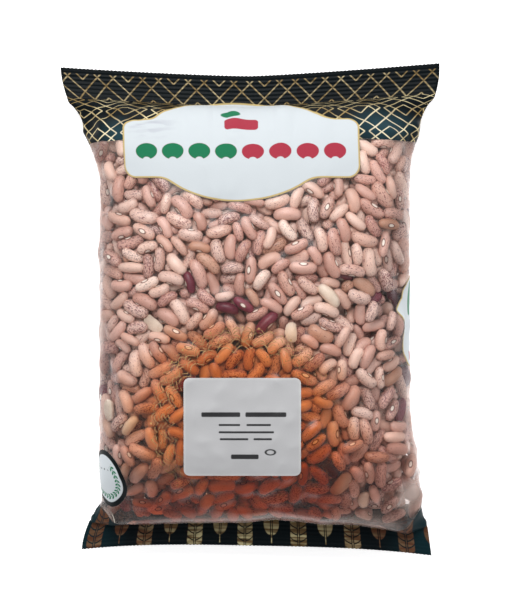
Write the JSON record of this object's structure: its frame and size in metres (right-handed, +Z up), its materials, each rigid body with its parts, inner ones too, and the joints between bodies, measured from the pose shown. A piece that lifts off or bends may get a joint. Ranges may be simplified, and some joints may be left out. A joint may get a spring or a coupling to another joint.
{
  "type": "bag of dried beans",
  "caption": "Clear pillow bag filled with dried speckled beans, welded flat at both ends, with a plain label on its front; it lies on its back.",
  "frame": {"origin": "under the middle of the bag's box, on the surface that it lies on", "axes": "+Y towards the top of the print, +X to the right of the print, +Z up out of the printed front"},
  "size_m": [0.2228, 0.29, 0.0681],
  "materials": {
    "film_over_beans": "clear film over pinkish brown speckled beans",
    "label_paper": "smooth white label paper"
  },
  "bodies": {
    "root": {"filled_bag": "film_over_beans", "label": "label_paper"}
  },
  "joints": []
}
